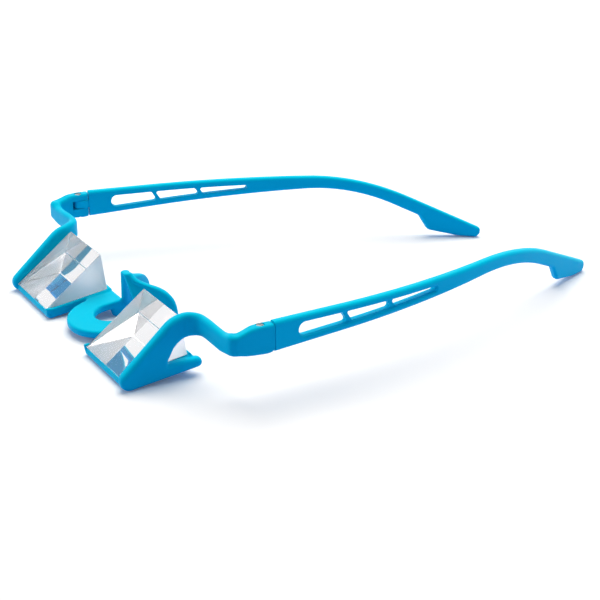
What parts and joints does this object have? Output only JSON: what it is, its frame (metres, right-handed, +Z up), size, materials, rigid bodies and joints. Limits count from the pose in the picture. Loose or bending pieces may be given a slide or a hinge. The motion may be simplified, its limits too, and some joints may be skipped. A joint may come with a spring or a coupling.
{
  "type": "belay glasses",
  "caption": "Prism glasses for belaying: a moulded front holds two glass prisms that turn the view upwards, and two slotted temples fold in on screw hinges.",
  "frame": {"origin": "on the table, under the middle of the open glasses' overall box", "axes": "+X towards the wearer's left, +Y back along the temples, +Z up from the table that the open glasses rest on"},
  "size_m": [0.145, 0.1882, 0.0242],
  "materials": {
    "frame_plastic": "satin blue moulding",
    "temple_plastic": "satin blue moulding",
    "prism_glass": "polished clear",
    "prism_mirror": "vacuum coated",
    "adhesive": "clear cured resin",
    "screw_steel": "turned",
    "nut_steel": "milled"
  },
  "bodies": {
    "front": {"front_frame": "frame_plastic", "prism_left": "prism_glass", "prism_right": "prism_glass", "prism_mirror_left": "prism_mirror", "prism_mirror_right": "prism_mirror", "prism_adhesive_left": "adhesive", "prism_adhesive_right": "adhesive", "hinge_screw_left": "screw_steel", "hinge_screw_right": "screw_steel", "hinge_nut_left": "nut_steel", "hinge_nut_right": "nut_steel"},
    "left_temple": {"temple_left": "temple_plastic"},
    "right_temple": {"temple_right": "temple_plastic"}
  },
  "joints": [
    {"name": "temple_left_fold", "type": "hinge", "parent": "front", "child": "left_temple", "pos_m": [0.07015, -0.05824, 0.0195], "axis": [0, 0, 1], "range_deg": [0, 81]},
    {"name": "temple_right_fold", "type": "hinge", "parent": "front", "child": "right_temple", "pos_m": [-0.07015, -0.05824, 0.0195], "axis": [0, 0, -1], "range_deg": [-13.4, 48]}
  ]
}
